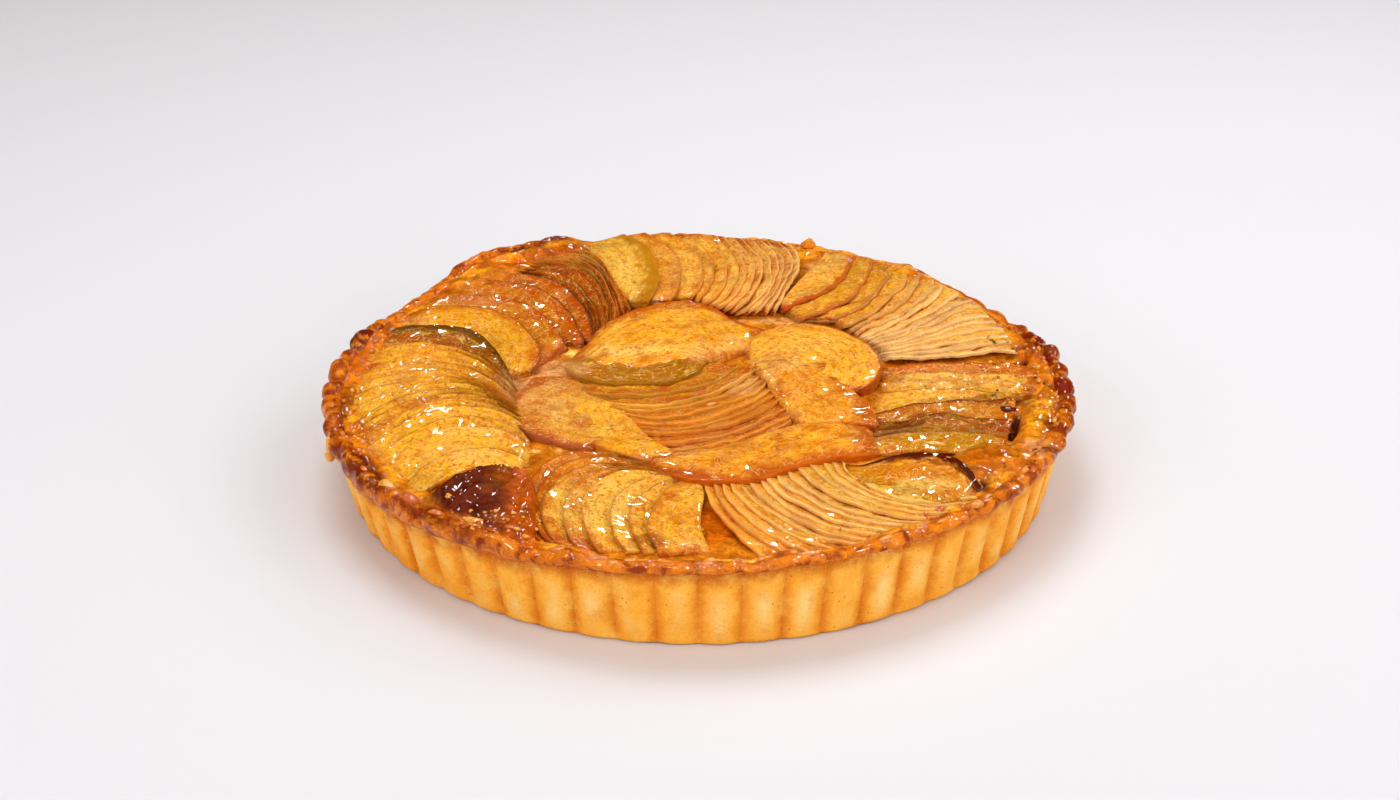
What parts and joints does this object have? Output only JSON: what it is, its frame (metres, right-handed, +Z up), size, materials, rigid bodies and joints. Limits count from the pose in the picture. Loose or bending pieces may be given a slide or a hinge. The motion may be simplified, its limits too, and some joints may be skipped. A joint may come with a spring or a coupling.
{
  "type": "apple tart",
  "caption": "Round apple tart: a fluted shortcrust case with a browned lip, holding baked cream and fans of glazed apple slices.",
  "frame": {"origin": "centre of the crust's flat underside", "axes": "+Z up out of the filling, +X to the right and +Y away from the viewer who faces the burnt puff at the front left"},
  "size_m": [0.2794, 0.2792, 0.0396],
  "materials": {
    "crust": "baked shortcrust, matt and finely pored, with a browned glazed lip",
    "filling": "baked cream under a clear glaze, glossy, browned in spots",
    "apple": "baked apple slices under a clear glaze, glossy, with browned edges"
  },
  "bodies": {
    "root": {"crust": "crust", "filling": "filling", "apple_fan_1": "apple", "apple_fan_2": "apple", "apple_fan_3": "apple", "apple_fan_4": "apple", "apple_fan_5": "apple", "apple_fan_6": "apple", "apple_fan_7": "apple", "apple_fan_centre": "apple", "apple_slice_1": "apple", "apple_slice_2": "apple", "apple_slice_3": "apple", "apple_slice_4": "apple", "apple_slice_5": "apple", "apple_slice_6": "apple"}
  },
  "joints": []
}
